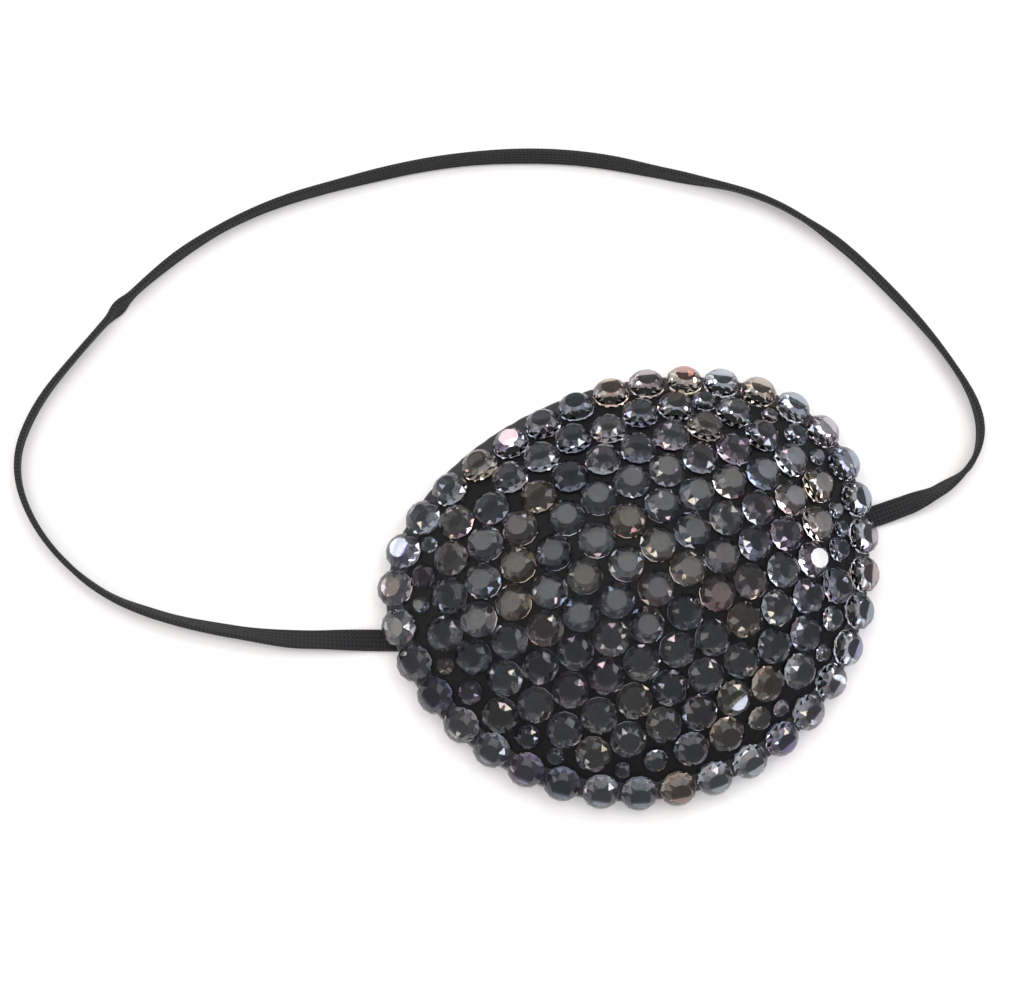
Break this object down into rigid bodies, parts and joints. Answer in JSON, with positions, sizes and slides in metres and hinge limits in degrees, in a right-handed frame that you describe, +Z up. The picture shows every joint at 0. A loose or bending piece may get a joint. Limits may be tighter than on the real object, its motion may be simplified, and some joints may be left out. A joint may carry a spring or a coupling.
{
  "type": "eye patch",
  "caption": "Domed fabric eye patch covered in faceted flat-back stones, bound round its edge, on a loop of flat black elastic.",
  "frame": {"origin": "middle of the patch's footprint, on the plane its rim rests on", "axes": "+X along the patch's long way across, +Y towards the brow side, +Z up through the domed front"},
  "size_m": [0.1291, 0.101, 0.014],
  "materials": {
    "stone": "faceted, foil-backed, polished",
    "stiffener": "heat-moulded foam sheet",
    "cover": "woven satin",
    "lining": "brushed knit",
    "glue": "set adhesive film",
    "binding": "folded satin bias tape",
    "felt": "pressed felt",
    "thread": "twisted polyester thread",
    "elastic": "flat braided elastic"
  },
  "bodies": {
    "root": {"back_lining": "lining", "bar_tack_left": "thread", "bar_tack_right": "thread", "binding_stitches": "thread", "edge_binding": "binding", "elastic_strap": "elastic", "filler_stones": "stone", "front_cover": "cover", "glue_layer": "glue", "rim_stones": "stone", "shell": "stiffener", "stone_row_01": "stone", "stone_row_02": "stone", "stone_row_03": "stone", "stone_row_04": "stone", "stone_row_05": "stone", "stone_row_06": "stone", "stone_row_07": "stone", "stone_row_08": "stone", "stone_row_09": "stone", "stone_row_10": "stone", "stone_row_11": "stone", "strap_end_left": "elastic", "strap_end_right": "elastic", "strap_tab_left": "felt", "strap_tab_right": "felt"}
  },
  "joints": []
}
